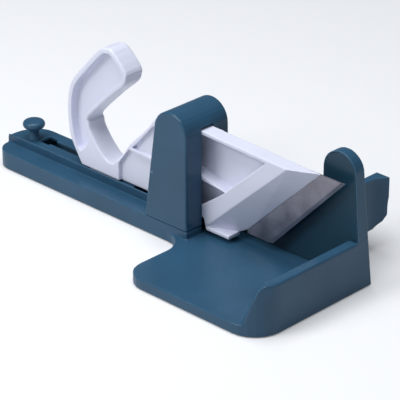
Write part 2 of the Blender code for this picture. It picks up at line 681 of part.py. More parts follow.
def make_plate():
    plate = prism("shear_plate", plate_outline(), "Y", BACK_FRONT, BACK_FRONT + PLATE_THICK)
    for n, x in enumerate(REST_SCREWS):
        place = (x, BACK_FRONT, REST_SCREW_HEIGHT)
        join(plate, rod(f"plate_boss_{n + 1}", PLATE_BOSS_RADIUS, PLATE_THICK - SINK,
                        PLATE_THICK + PLATE_BOSS_LENGTH, place, "Y"))
        cut(plate, rod(f"plate_thread_{n + 1}", SCREW_HOLE, PLATE_THICK - SINK,
                       PLATE_THICK + PLATE_BOSS_LENGTH + PAST, place, "Y"))
    nose = notch_outline(SAUSAGE_RADIUS + NOSE_WALL + GAP)
    return cut(plate, prism("plate_notch", nose, "Y", BACK_FRONT - PAST, BACK_FRONT + 2 * PLATE_THICK))


# Guide arch

def make_arch():
    arch = soften(prism("guide_arch", arch_outline(LEDGE_TOP + GAP), "Y", 0, RAIL_DEPTH), ARCH_EDGE, 3)
    ceiling = slide_top(ARCH_LEFT) + RUN
    low = LEDGE_TOP - PAST
    side = box_outline(FENCE_BACK, low, SHEAR_FACE, BLADE_PASS_TOP)
    cut(arch, prism("blade_passage", side, "X", 0, RIGHT))
    upper = box_outline(FENCE_BACK, BLADE_PASS_TOP - SINK, SLIDE_BACK + RUN, ceiling)
    cut(arch, prism("slide_passage", upper, "X", 0, RIGHT))
    rear = box_outline(SHEAR_FACE - SINK, low, RAIL_DEPTH + PAST, DECK_TOP + GAP)
    cut(arch, prism("rear_seat", rear, "X", 0, RIGHT))
    top = ceiling - 2 * CORE_WALL
    core_leg(arch, "front", CORE_WALL, FENCE_BACK - CORE_WALL, top, ARCH_SCREWS[:2], LEDGE_TOP)
    core_leg(arch, "rear", SHEAR_FACE + CORE_WALL, RAIL_DEPTH - CORE_WALL, top, ARCH_SCREWS[2:], DECK_TOP)
    return arch


def core_leg(arch, name, front, back, top, screws, seat):
    """Hollows one leg from below, and leaves a boss round each screw."""
    bottom = LEDGE_TOP - PAST
    core = prism(f"{name}_core", arch_outline(bottom, CORE_WALL, top), "Y", front, back)
    for n, (x, y) in enumerate(screws):
        cut(core, rod(f"{name}_boss_{n + 1}", SCREW_RADIUS + CORE_WALL, 0, top + PAST, (x, y, 0)))
    cut(arch, core)
    end = seat + SCREW_GRIP + 2 * GAP
    for n, (x, y) in enumerate(screws):
        cut(arch, rod(f"{name}_thread_{n + 1}", SCREW_HOLE, 0, end, (x, y, 0)))


# Slide

def slide_top(x):
    return SLIDE_TOP - (x - ARCH_RIGHT) * tan(SLIDE_FALL)


def on_line(line, height):
    """X where a sloping edge reaches a height."""
    x, z, slope = line
    return x + (height - z) / tan(slope)


def shoulder(height, back_off=0.0):
    """X of the thick part's end, which stops against the arch's left face."""
    return arch_side(height)[0] - GAP - back_off


def open_smooth(points, steps=3):
    """A Catmull-Rom curve through the points that keeps both ends."""
    first = points[0]
    last = points[-1]
    padded = [first] + points + [last]
    made = []
    for n in range(1, len(padded) - 2):
        p0, p1, p2, p3 = padded[n - 1:n + 3]
        for step in range(steps):
            t = step / steps
            made.append(tuple(
                0.5 * (2 * b + (c - a) * t + (2 * a - 5 * b + 4 * c - d) * t * t
                       + (3 * b - a - 3 * c + d) * t ** 3)
                for a, b, c, d in zip(p0, p1, p2, p3)))
    return made + [last]


def from_left(points):
    """Points of the handle: distances to the left of the arch's foot become places."""
    return [(ARCH_LEFT - reach, height) for reach, height in points]


def from_right(points):
    """Points of the thin part: distances to the right of the arch's right foot become places."""
    return [(ARCH_RIGHT + reach, height) for reach, height in points]


def handle_outline():
    head = slide_top(ARCH_LEFT)
    return open_smooth(from_left(HOOK_LEFT)) + [
        (ARCH_LEFT, head - SHOULDER_DROP), (shoulder(head), head), (shoulder(SLIDE_BOTTOM), SLIDE_BOTTOM)]


def thin_outline():
    low = SLIDE_BOTTOM + SEAM
    left = shoulder(low, SHOULDER_RIM / 2)
    high = slide_top(ARCH_LEFT) - SEAM
    high_left = shoulder(high, SHOULDER_RIM / 2)
    tip = ARCH_RIGHT + TIP_LEFT
    tip_end = tip + TIP_LENGTH
    tip_top = TIP_BOTTOM + TIP_THICK
    top_right = on_line(PLOUGH_BACK, slide_top(PLOUGH_BACK[0]))
    return [(left, low), (tip - 2 * TIP_SLOPE, low), (tip, tip_top), (tip + TIP_SLOPE, TIP_BOTTOM),
            (tip_end, TIP_BOTTOM), (tip_end, tip_top), (on_line(PLOUGH_BACK, PLOUGH_FOOT), PLOUGH_FOOT),
            (top_right, slide_top(top_right)), (high_left, slide_top(high_left) - SEAM)]


def plough_cutter():
    """Takes the thin part's right end off along the sloping plough face, down to the tip plate."""
    def section(height):
        front_x = on_line(PLOUGH_FRONT, height)
        back_x = on_line(PLOUGH_BACK, height)
        step = (back_x - front_x) / SLIDE_DEPTH * PAST
        return [(front_x - step, SLIDE_FRONT - PAST, height), (FAR, SLIDE_FRONT - PAST, height),
                (FAR, SLIDE_BACK + PAST, height), (back_x + step, SLIDE_BACK + PAST, height)]
    return loft("plough_cut", section(TIP_BOTTOM + TIP_THICK), section(SLIDE_TOP + 5 * PAST))


def rib_line(x, height):
    """Height at x of a line that falls as the rib does, and has that height at the rib's left end."""
    return height - (x - ARCH_LEFT + RIB_LEFT) * tan(RIB_FALL)


def window_outlines():
    left = ARCH_RIGHT + WINDOW_LEFT
    right = ARCH_RIGHT + UPPER_WINDOW_RIGHT
    upper = [(left, slide_top(left) - FLANGE_THICK), (left, UPPER_WINDOW_FOOT)]
    upper += from_right(UPPER_WINDOW_LOW) + [(right, slide_top(right) - FLANGE_THICK)]
    lower = [(left, LOWER_WINDOW_HEAD), (left, LOWER_WINDOW_FOOT)] + from_right(LOWER_WINDOW_RIGHT)
    return upper, lower


def make_slide():
    slide = prism("slide_body", thin_outline(), "Y", SLIDE_FRONT + SEAM, SLIDE_BACK)
    cut(slide, plough_cutter())
    upper, lower = window_outlines()
    thin_web = SLIDE_BACK - WEB_THICK
    cut(slide, prism("upper_window", upper, "Y", SLIDE_FRONT - PAST, thin_web))
    cut(slide, prism("lower_window", lower, "Y", SLIDE_FRONT - PAST, thin_web))
    handle = soften(prism("handle", handle_outline(), "Y", SLIDE_FRONT, HANDLE_BACK), SOFT_EDGE)
    hook_web = SLIDE_FRONT + HOOK_POCKET
    pocket = smooth(from_left(HOOK_POCKET_SHAPE), 2)
    cut(handle, prism("hook_pocket", pocket, "Y", SLIDE_FRONT - PAST, hook_web))
    cut(handle, prism("hook_back_pocket", pocket, "Y", hook_web + WEB_THICK, HANDLE_BACK + PAST))
    web = SLIDE_FRONT + WEB_POCKET
    for name, shape in (("above_rib", above_rib()), ("below_rib", below_rib())):
        cut(handle, prism(name, shape, "Y", SLIDE_FRONT - PAST, web))
        cut(handle, prism(name + "_back", shape, "Y", web + WEB_THICK, HANDLE_BACK + PAST))
    join(slide, handle)
    head = SLIDE_BOTTOM + SHOE_SCREW_GRIP + SCREW_END_PLAY
    cut(slide, rod("shoe_thread", SCREW_HOLE, 0, head, (SHOE_PLACE, SLOT_ACROSS, 0)))
    for n, (x, z) in enumerate(blade_screw_places()):
        cut(slide, rod(f"blade_thread_{n + 1}", SCREW_HOLE, -BLADE_SCREW_GRIP - GAP, PAST,
                       (x, SLIDE_BACK, z), "Y"))
    return slide


def below_rib():
    """The recess between the foot, the brace and the rib."""
    brace = from_left(BRACE_UNDER)
    low = SLIDE_BOTTOM - PAST
    left = ARCH_LEFT - RIB_LEFT
    right = shoulder(RIB_HEIGHT, SHOULDER_RIM)
    return [(brace[0][0], low)] + brace[:3] + [
        (left, rib_line(left, RIB_HEIGHT)), (right, rib_line(right, RIB_HEIGHT)),
        (shoulder(low, SHOULDER_RIM), low)]


def above_rib():
    """The recess between the rib, the brace and the shoulder's rim."""
    brace = from_left(BRACE_UNDER)
    low = RIB_HEIGHT + RIB_THICK
    left = ARCH_LEFT - ABOVE_RIB_LEFT
    right = shoulder(low, SHOULDER_RIM)
    top = ABOVE_RIB_TOP
    return [(left, rib_line(left, low)), brace[3], brace[4],
            (shoulder(top, SHOULDER_RIM + ABOVE_RIB_CORNER), top), (shoulder(top, SHOULDER_RIM), top),
            (right, rib_line(right, low))]


# Blade

def blade_screw_places():
    """Along the plough's back edge, far enough in for the thread."""
    return [(on_line(PLOUGH_BACK, z) - BLADE_SCREW_INSET, z) for z in BLADE_SCREW_HEIGHTS]


def make_blade():
    shown_top = on_line(PLOUGH_BACK, BLADE_TOP) + BLADE_SHOWN
    edge = (shown_top, BLADE_TOP, PLOUGH_BACK[2] + BLADE_SPREAD)
    step = BLADE_BOTTOM + BLADE_STEP
    hidden = (PLOUGH_BACK[0] - BLADE_HIDDEN, PLOUGH_BACK[1], PLOUGH_BACK[2])
    left = on_line(PLOUGH_BACK, step)
    outline = [(left, BLADE_BOTTOM), (on_line(edge, BLADE_BOTTOM), BLADE_BOTTOM), (shown_top, BLADE_TOP),
               (on_line(hidden, BLADE_TOP), BLADE_TOP), (on_line(hidden, step), step), (left, step)]
    blade = prism("blade", outline, "Y", BLADE_FRONT, BLADE_BACK)

    depth = BLADE_THICK - BEVEL_EDGE

    def grind(height):
        x = on_line(edge, height)
        return [(x - 2 * BEVEL_WIDTH, BLADE_FRONT - depth, height),
                (x + BEVEL_WIDTH, BLADE_FRONT + 2 * depth, height),
                (x + BEVEL_WIDTH, BLADE_FRONT - depth, height)]
    cut(blade, loft("blade_grind", grind(BLADE_BOTTOM - PAST), grind(BLADE_TOP + PAST)))
    hole = SCREW_HOLE
    cone = (SCREW_HEAD_RADIUS - SCREW_RADIUS) / SINK_DEPTH
    wide = SCREW_HEAD_RADIUS + SCREW_PLAY + PAST * cone
    profile = [(0, PAST), (wide, PAST), (hole, -SINK_DEPTH), (hole, -BLADE_THICK - PAST),
               (0, -BLADE_THICK - PAST)]
    for n, (x, z) in enumerate(blade_screw_places()):
        cut(blade, turned(f"blade_hole_{n + 1}", profile, (x, BLADE_BACK, z), "Y"))
    return blade


def make_blade_screw(n, x, z):
    """Countersunk, its head flush with the blade's back."""
    length = BLADE_BACK - SLIDE_BACK + BLADE_SCREW_GRIP
    profile = [(0, -SEAM), (SCREW_HEAD_RADIUS, -SEAM), (SCREW_RADIUS, -SINK_DEPTH - SEAM),
               (SCREW_RADIUS, -length), (0, -length)]
    return turned(f"blade_screw_{n}", profile, (x, BLADE_BACK, z), "Y", 16)


# Shoe under the slide

def make_shoe():
    top = SLIDE_BOTTOM - GAP
    front = SLIDE_FRONT + PAST
    half = PAD_LENGTH / 2
    pad = box_outline(SHOE_PLACE - half, front, SHOE_PLACE + half, HANDLE_BACK - SOFT_EDGE)
    shoe = prism("guide_shoe", pad, "Z", DECK_TOP + GAP, top)
    neck_half = SLOT_WIDTH / 2 - RUN
    neck = box_outline(SHOE_PLACE - NECK_LENGTH / 2, SLOT_ACROSS - neck_half, SHOE_PLACE + NECK_LENGTH / 2,
                       SLOT_ACROSS + neck_half)
    join(shoe, prism("shoe_neck", neck, "Z", DECK_TOP - SKIN - GAP, top - SINK / 2))
    return cut(shoe, rod("shoe_hole", SCREW_HOLE, 0, top + PAST, (SHOE_PLACE, SLOT_ACROSS, 0)))


def make_shoe_plate():
    half_long = KEYHOLE_LENGTH / 2 - KEYHOLE_PLAY
    half_wide = KEYHOLE_WIDTH / 2 - KEYHOLE_PLAY
    top = DECK_TOP - SKIN - 2 * GAP
    shape = box_outline(SHOE_PLACE - half_long, SLOT_ACROSS - half_wide, SHOE_PLACE + half_long,
                        SLOT_ACROSS + half_wide)
    plate = prism("shoe_plate", shape, "Z", top - SHOE_PLATE_THICK, top)
    return cut(plate, rod("plate_hole", SCREW_HOLE, 0, top + PAST, (SHOE_PLACE, SLOT_ACROSS, 0)))


# Turned pieces

def make_screw(name, under_head, tip, place, axis="Z"):
    """Pan head screw: heights along its axis of the head's bearing face and of the thread's end."""
    low = under_head - SCREW_HEAD_THICK
    edge = SCREW_HEAD_RADIUS * 0.7
    profile = [(0, tip), (SCREW_RADIUS * 0.6, tip), (SCREW_RADIUS, tip - SCREW_RADIUS),
               (SCREW_RADIUS, under_head), (SCREW_HEAD_RADIUS, under_head),
               (SCREW_HEAD_RADIUS, low + SCREW_HEAD_THICK / 3), (edge, low), (0, low)]
    return turned(name, profile, place, axis, 16)


def make_peg():
    deck = DECK_TOP + GAP
    head_low = PEG_TOP - PEG_HEAD_THICK
    ring_place = PEG_BOSS_END + RING_HEIGHT
    groove = PEG_SHANK_RADIUS - RING_THICK
    groove_half = RING_THICK + GAP
    head = arc(PEG_HEAD_RADIUS - PEG_HEAD_ROUND, head_low + PEG_HEAD_ROUND, PEG_HEAD_ROUND, 62, -72, 6)
    profile = [(0, PEG_TOP), (PEG_HEAD_RADIUS / 3, PEG_TOP - GAP)] + head + [
        (PEG_STEM_RADIUS, head_low - GAP), (PEG_NECK_RADIUS, head_low - PEG_TAPER),
        (PEG_STEM_RADIUS, deck + PEG_TAPER), (PEG_STEM_RADIUS, deck), (PEG_SHANK_RADIUS, deck),
        (PEG_SHANK_RADIUS, ring_place + groove_half), (groove, ring_place + groove_half),
        (groove, ring_place - groove_half), (PEG_SHANK_RADIUS, ring_place - groove_half),
        (PEG_SHANK_RADIUS, PEG_SHANK_END + PEG_END_BEVEL), (PEG_SHANK_RADIUS - PEG_END_BEVEL, PEG_SHANK_END),
        (0, PEG_SHANK_END)]
    peg = turned("stop_peg", profile, (*PEG_PLACE, 0))
    band = ring("peg_ring", groove + RUN / 2, PEG_SHANK_RADIUS + RUN / 2, ring_place - RING_THICK,
                ring_place + RING_THICK, (*PEG_PLACE, 0))
    return peg, band


def make_foot(n, x, y):
    top = FOOT_RECESS - GAP
    low = -FOOT_STANDS_OUT
    tread = FOOT_RADIUS - FOOT_STANDS_OUT / 2
    profile = [(0, top), (FOOT_RADIUS, top), (FOOT_RADIUS, 0), (tread, low), (0, low)]
    return turned(f"foot_{n}", profile, (x, y, 0), "Z", 20)


# Sausage rest

def mouth_half(y):
    """Half width of the rest, which flares over its last stretch."""
    share = max(0.0, (y - (REST_REAR - MOUTH_LENGTH)) / MOUTH_LENGTH)
    return REST_SIDE + MOUTH_FLARE * share * share


def make_rest():
    places = [REST_FRONT, REST_REAR - MOUTH_LENGTH] + [
        REST_REAR - MOUTH_LENGTH * (1 - n / 5) for n in range(1, 6)]
    right = [(REST_X + mouth_half(y), y) for y in places]
    left = [(2 * REST_X - x, y) for x, y in reversed(right)]
    rest = prism("sausage_rest", right + left, "Z", REST_BOTTOM, REST_TOP)
    inner_front = REST_FRONT + REST_WALL
    inner_rear = REST_REAR - REST_WALL
    inner_right = [(x - REST_WALL, min(max(y, inner_front), inner_rear)) for x, y in right]
    inner_left = [(2 * REST_X - x, y) for x, y in reversed(inner_right)]
    floor = CHANNEL_HEIGHT - SAUSAGE_RADIUS - REST_WALL
    cut(rest, prism("rest_hollow", inner_right + inner_left, "Z", REST_BOTTOM - PAST, floor))
    rise = REST_BOTTOM + REST_CORNER_RISE
    start = REST_REAR - REST_CORNER_REACH
    inward, up = REST_CORNER_MIDDLE
    corner = [(REST_REAR + PAST, REST_BOTTOM - PAST), (REST_REAR + PAST, rise), (REST_REAR, rise),
              (REST_REAR - inward, REST_BOTTOM + up), (start, REST_BOTTOM), (start, REST_BOTTOM - PAST)]
    cut(rest, prism("rest_corner", corner, "X", 0, RIGHT + FAR))
    for n, x in enumerate(REST_SCREWS):
        cut(rest, rod(f"rest_screw_hole_{n + 1}", SCREW_HOLE, -PAST, REST_WALL + PAST,
                      (x, REST_FRONT, REST_SCREW_HEIGHT), "Y"))
    outer = SAUSAGE_RADIUS + NOSE_WALL
    nose = arc(REST_X, CHANNEL_HEIGHT, outer, 180, 360, 16)
    nose += [(REST_X + outer, REST_TOP + NOSE_ABOVE), (REST_X - outer, REST_TOP + NOSE_ABOVE)]
    join(rest, prism("rest_nose", nose, "Y", SHEAR_FACE, REST_FRONT + SINK))
    channel = notch_outline(SAUSAGE_RADIUS)
    cut(rest, prism("rest_channel", channel, "Y", SHEAR_FACE - PAST, REST_REAR + PAST))
    low_side = box_outline(REST_X - FAR, REST_LOW_SIDE, REST_X, REST_TOP + FAR)
    cut(rest, prism("rest_low_side", low_side, "Y", REST_FRONT + REST_WALL, REST_REAR + PAST))
    return rest


# Build and place

def build():
    base_pieces = [make_base(), make_plate(), make_arch(), make_rest()]
    slide_pieces = [make_slide(), make_blade(), make_shoe(), make_shoe_plate()]
    for n, (x, z) in enumerate(blade_screw_places()):
        slide_pieces.append(make_blade_screw(n + 1, x, z))
    shoe_low = DECK_TOP - SKIN - 3 * GAP - SHOE_PLATE_THICK
    slide_pieces.append(make_screw("shoe_screw", shoe_low, SLIDE_BOTTOM + SHOE_SCREW_GRIP,
                                   (SHOE_PLACE, SLOT_ACROSS, 0)))
    for n, (x, y) in enumerate(ARCH_SCREWS):
        seat = LEDGE_TOP if y < LEDGE_DEPTH else DECK_TOP
        base_pieces.append(make_screw(f"arch_screw_{n + 1}", seat - SKIN - GAP, seat + SCREW_GRIP, (x, y, 0)))
    for n, x in enumerate(REST_SCREWS):
        under = REST_FRONT + REST_WALL + GAP
        tip = BACK_FRONT + PLATE_THICK
        base_pieces.append(make_screw(f"rest_screw_{n + 1}", -under, -tip, (x, 0, REST_SCREW_HEIGHT), "-Y"))
    for n, (x, y) in enumerate(FEET):
        base_pieces.append(make_foot(n + 1, x, y))
    peg, band = make_peg()

    frame = bpy.data.objects.new("guillotine", None)
    frame.location = (-RIGHT / 2, -(REST_REAR - TRAY_REACH) / 2, FOOT_STANDS_OUT)
    slide_axis = bpy.data.objects.new("slide_axis", None)
    slide_axis.location = (SHOE_PLACE, SLOT_ACROSS, DECK_TOP)
    peg_axis = bpy.data.objects.new("peg_axis", None)
    peg_axis.location = (*PEG_PLACE, DECK_TOP)
    for empty in (frame, slide_axis, peg_axis):
        parts.objects.link(empty)
    slide_axis.parent = frame
    peg_axis.parent = frame
    carried = [(frame, base_pieces), (slide_axis, slide_pieces), (peg_axis, [peg, band])]
    for carrier, pieces in carried:
        for piece in pieces:
            piece.parent = carrier
            if carrier is not frame:
                piece.matrix_parent_inverse = Matrix.Translation(carrier.location).inverted()
    for tool in cutters.objects:
        tool.parent = frame
    finish = {"shear_plate": DARK, "slide_body": WHITE, "blade": STEEL, "guide_shoe": ACETAL,
              "shoe_plate": ZINC, "peg_ring": RUBBER}
    for piece in parts.objects:
        if piece.type != "MESH":
            continue
        kind = ZINC if "screw" in piece.name else RUBBER if piece.name.startswith("foot_") else BLUE
        piece.data.materials.append(finish.get(piece.name, kind))


build()
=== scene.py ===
"""The finished look of a sausage guillotine: soft-edged mouldings, a stained blade, screws and feet."""

import json
from math import cos, radians, sin

import bmesh
import bpy
import numpy as np
from mathutils import Matrix, Vector


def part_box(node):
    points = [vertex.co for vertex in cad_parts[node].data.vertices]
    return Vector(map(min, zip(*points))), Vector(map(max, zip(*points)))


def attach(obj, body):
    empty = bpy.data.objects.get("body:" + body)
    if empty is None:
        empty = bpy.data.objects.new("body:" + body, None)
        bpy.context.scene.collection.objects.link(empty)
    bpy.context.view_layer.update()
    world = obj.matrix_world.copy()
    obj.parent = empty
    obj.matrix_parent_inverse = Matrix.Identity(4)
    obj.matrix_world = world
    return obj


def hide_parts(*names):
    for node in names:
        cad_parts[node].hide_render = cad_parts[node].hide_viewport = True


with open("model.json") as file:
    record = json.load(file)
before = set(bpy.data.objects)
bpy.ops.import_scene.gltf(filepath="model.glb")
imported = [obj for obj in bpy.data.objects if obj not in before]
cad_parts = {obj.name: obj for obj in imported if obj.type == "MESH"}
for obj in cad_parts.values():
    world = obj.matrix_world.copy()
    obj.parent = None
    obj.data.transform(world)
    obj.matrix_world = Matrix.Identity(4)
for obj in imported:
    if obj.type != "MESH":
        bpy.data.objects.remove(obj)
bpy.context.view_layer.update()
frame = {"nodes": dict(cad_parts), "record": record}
nodes = frame["nodes"]

# Camera: read from the photograph's edges
VIEW_AZIMUTH = radians(44.88)
VIEW_ELEVATION = radians(26.82)
VIEW_DISTANCE = 2.0
VIEW_TARGET = Vector((0.03375, -0.02165, 0.031))
VIEW_LENS = 207.5
FRAME_CENTRE_RIGHT = 0.02212    # the frame's centre, right of and above the target
FRAME_CENTRE_UP = 0.01197

# Floor and light
FLOOR_REACH = 6.0
FLOOR_COLOUR = (0.76, 0.76, 0.765)
FLOOR_GLOW = 0.17               # only as the camera sees it
WORLD_COLOUR = (0.72, 0.83, 1.0)
WORLD_STRENGTH = 0.14
LAMP_TARGET = Vector((0.03, -0.02, 0.05))

# Places in the frame
POST_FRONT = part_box("shear_plate")[0][1]
TRAY_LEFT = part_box("guide_arch")[1][0]
ARCH_FRONT_SEAT = 0.0176        # heights of the undersides of the arch's feet
ARCH_BACK_SEAT = 0.0243
ARCH_FEET = ((ARCH_FRONT_SEAT, -1, 0.0), (ARCH_BACK_SEAT, 0.0, 1))

# Mouldings
FINE = 0.0005           # mesh step
KEEP_FACES = 0.30       # share of a moulding's faces that stays at the end
SEAT_GAP = 0.0003       # that the CAD leaves between pieces that touch
SEAT_DRAW = 0.003       # the arch's feet are drawn this far down
SEAT_DEPTH = 0.0014     # and cut off this far below their seat, which narrows the seam there
FOOT_SPREAD = 0.0004    # and their ends are this much wider
FOOT_SPREAD_RISE = 0.004

# Rounder stretches: the distances or heights between which each fades
WALL_EDGE = (0.0035, 0.0065)
BEFORE_POST = (-0.004, 0.0)
ABOVE_TRAY = (0.012, 0.014)
RIM_EDGE = (0.0015, 0.003)
RIM_HEIGHT = (0.007, 0.009)
RIM_START = 0.001               # left of the tray
FENCE_REACH = (0.008, 0.013)
ABOVE_DECK = (0.0225, 0.0235)
REST_REACH = (0.009, 0.016)
REST_HEIGHT = (0.044, 0.052)
LARGE_ROUNDS = 60               # rounds of smoothing
FENCE_ROUNDS = 20
RIM_ROUNDS = 12

# Peg, feet, screws and blade
PEG_HEAD_THICK = 0.0085
PEG_HEAD_EDGE = 0.0036
PEG_DOME = ((0.4, 0.0001), (0.6, 0.0003))   # share of the head's radius, drop below its top
PEG_DOME_DROP = 0.0007
PEG_FILLET = 0.0012
PEG_FILLET_RISE = 0.0003
PEG_FILLET_DROP = 0.0005
PEG_STEM_RADIUS = 0.00545
PEG_NECK_RADIUS = 0.0046
PEG_STEM_LENGTH = 0.0112        # between its head and the deck
PEG_NECK_START = 0.0030         # below its head
PEG_NECK_END = 0.0058           # above the deck
PEG_FOOT_TOP = 0.0030
PEG_SHANK_RADIUS = 0.0035
PEG_GROOVE_DEPTH = 0.0009
PEG_TIP = 0.001
FOOT_RIM = 0.0006
FOOT_DISH = 0.0005
FOOT_DISH_SPAN = (0.62, 0.5)    # shares of the foot's radius, at the dish's edge and floor
CROSS_WIDTH = 0.0008
CROSS_REACH = 0.0021
CROSS_DEPTH = 0.0009
CROSS_TURN = 20
SCREW_EDGE = 0.00015
BLADE_EDGE = 0.00022

# Finishes: noise scales are per metre, and a bump is its depth in metres and its strength
NOISE_RANGE = (0.3, 0.7)        # that nearly all of a noise lies in
CLOUD_SCALE = 22
CLOUD_RANGE = (0.35, 0.65)
PATCH_SCALE = 60
WAVE_SCALE = 70
WAVE_BUMP = (0.0002, 0.12)
GRAIN_SCALE = 2600
GRAIN_BUMP = (0.00006, 0.25)
PLASTIC_SPECULAR = 0.35
PATCH_ROUGHNESS = 0.05          # either side of the plastic's own
EDGE_SHARPNESS = (0.52, 0.60)   # pointiness at which the painted edge highlight sets in and is whole
EDGE_SHARE = 0.7
SCRATCH_STRETCH = (60, 2600, 2600)
SCRATCH_BUMP = (0.00001, 0.15)
STAIN_SCALE = 55
STAIN_SHARE = 0.72
STAIN_RANGE = (0.36, 0.64)
STAIN_DARK = 0.80
STAIN_GLOSSIER = 0.06
STAIN_DULLER = 0.10
RUBBER_CLOUD_SCALE = 180
RUBBER_GRAIN_SCALE = 3000
RUBBER_GRAIN_BUMP = (0.0001, 0.5)


# Node helpers

def shader_of(name):
    made = bpy.data.materials.new(name)
    made.use_nodes = True
    tree = made.node_tree
    return made, tree, tree.nodes["Principled BSDF"]


def noise(tree, scale, detail=2.0, stretch=None, roughness=0.5):
    """Noise in the object's own frame, so that it moves with the piece."""
    place = tree.nodes.new("ShaderNodeTexCoord")
    made = tree.nodes.new("ShaderNodeTexNoise")
    made.inputs["Scale"].default_value = scale
    made.inputs["Detail"].default_value = detail
    made.inputs["Roughness"].default_value = roughness
    if stretch is None:
        tree.links.new(place.outputs["Object"], made.inputs["Vector"])
    else:
        turn = tree.nodes.new("ShaderNodeMapping")
        turn.inputs["Rotation"].default_value = stretch[0]
        turn.inputs["Scale"].default_value = stretch[1]
        tree.links.new(place.outputs["Object"], turn.inputs["Vector"])
        tree.links.new(turn.outputs["Vector"], made.inputs["Vector"])
    return made.outputs["Fac"]


def ramp(tree, value, low, high, low_colour, high_colour):
    """One colour where the value is low, the other where it is high."""
    made = tree.nodes.new("ShaderNodeValToRGB")
    made.color_ramp.elements[0].position = low
    made.color_ramp.elements[1].position = high
    made.color_ramp.elements[0].color = (*low_colour, 1)
    made.color_ramp.elements[1].color = (*high_colour, 1)
    tree.links.new(value, made.inputs["Fac"])
    return made.outputs["Color"]


def spread(tree, value, low, high):
    """A noise value, spread over low to high."""
    made = tree.nodes.new("ShaderNodeMapRange")
    made.inputs["From Min"].default_value = NOISE_RANGE[0]
    made.inputs["From Max"].default_value = NOISE_RANGE[1]
    made.inputs["To Min"].default_value = low
    made.inputs["To Max"].default_value = high
    tree.links.new(value, made.inputs["Value"])
    return made.outputs["Result"]


def bump(tree, shader, heights):
    """Chains bumps: (value, depth in metres, strength)."""
    before = None
    for value, depth, strength in heights:
        made = tree.nodes.new("ShaderNodeBump")
        made.inputs["Distance"].default_value = depth
        made.inputs["Strength"].default_value = strength
        tree.links.new(value, made.inputs["Height"])
        if before is not None:
            tree.links.new(before, made.inputs["Normal"])
        before = made.outputs["Normal"]
    tree.links.new(before, shader.inputs["Normal"])


def shade(colour, factor):
    return tuple(min(1.0, channel * factor) for channel in colour)


def plastic(name, colour, roughness, variation=0.08, edge_highlight=None):
    """Moulded plastic: uneven colour, a fine grain, duller and glossier patches, and a painted highlight
    on sharp edges.
    """
    made, tree, shader = shader_of(name)
    cloud = noise(tree, CLOUD_SCALE, 4)
    base = ramp(tree, cloud, *CLOUD_RANGE, shade(colour, 1 - variation), shade(colour, 1 + variation))
    if edge_highlight is not None:
        # painted highlight: sharp edges get a lighter tint, as if they caught the light
        edge = tree.nodes.new("ShaderNodeNewGeometry")
        highlight_mask = tree.nodes.new("ShaderNodeMapRange")
        highlight_mask.inputs["From Min"].default_value = EDGE_SHARPNESS[0]
        highlight_mask.inputs["From Max"].default_value = EDGE_SHARPNESS[1]
        highlight_mask.inputs["To Max"].default_value = EDGE_SHARE
        tree.links.new(edge.outputs["Pointiness"], highlight_mask.inputs["Value"])
        mix = tree.nodes.new("ShaderNodeMix")
        mix.data_type = "RGBA"
        mix.inputs["B"].default_value = (*edge_highlight, 1)
        tree.links.new(highlight_mask.outputs["Result"], mix.inputs["Factor"])
        tree.links.new(base, mix.inputs["A"])
        base = mix.outputs["Result"]
    tree.links.new(base, shader.inputs["Base Color"])
    shader.inputs["Specular IOR Level"].default_value = PLASTIC_SPECULAR
    patches = noise(tree, PATCH_SCALE, 3)
    dullness = spread(tree, patches, roughness - PATCH_ROUGHNESS, roughness + PATCH_ROUGHNESS)
    tree.links.new(dullness, shader.inputs["Roughness"])
    grain = noise(tree, GRAIN_SCALE, 1)
    waves = noise(tree, WAVE_SCALE, 2)
    bump(tree, shader, [(waves, *WAVE_BUMP), (grain, *GRAIN_BUMP)])
    return made


def steel(name, colour, roughness, turn, bright):
    """Steel with fine scratches along one direction, under soft stains."""
    made, tree, shader = shader_of(name)
    lines = noise(tree, 1.0, 6, (turn, SCRATCH_STRETCH), 0.7)
    stains = noise(tree, STAIN_SCALE, 5, None, 0.6)
    both = tree.nodes.new("ShaderNodeMix")
    both.inputs["Factor"].default_value = STAIN_SHARE
    tree.links.new(lines, both.inputs["A"])
    tree.links.new(stains, both.inputs["B"])
    mixed = both.outputs["Result"]
    base = ramp(tree, mixed, *STAIN_RANGE, shade(colour, STAIN_DARK), shade(colour, bright))
    tree.links.new(base, shader.inputs["Base Color"])
    dullness = spread(tree, mixed, roughness - STAIN_GLOSSIER, roughness + STAIN_DULLER)
    tree.links.new(dullness, shader.inputs["Roughness"])
    shader.inputs["Metallic"].default_value = 1.0
    bump(tree, shader, [(lines, *SCRATCH_BUMP)])
    return made


def rubber(name, colour):
    """Dull rubber with a fine grain."""
    made, tree, shader = shader_of(name)
    cloud = noise(tree, RUBBER_CLOUD_SCALE, 4)
    base = ramp(tree, cloud, *NOISE_RANGE, shade(colour, 0.7), shade(colour, 1.5))
    tree.links.new(base, shader.inputs["Base Color"])
    shader.inputs["Roughness"].default_value = 0.82
    grain = noise(tree, RUBBER_GRAIN_SCALE, 2)
    bump(tree, shader, [(grain, *RUBBER_GRAIN_BUMP)])
    return made


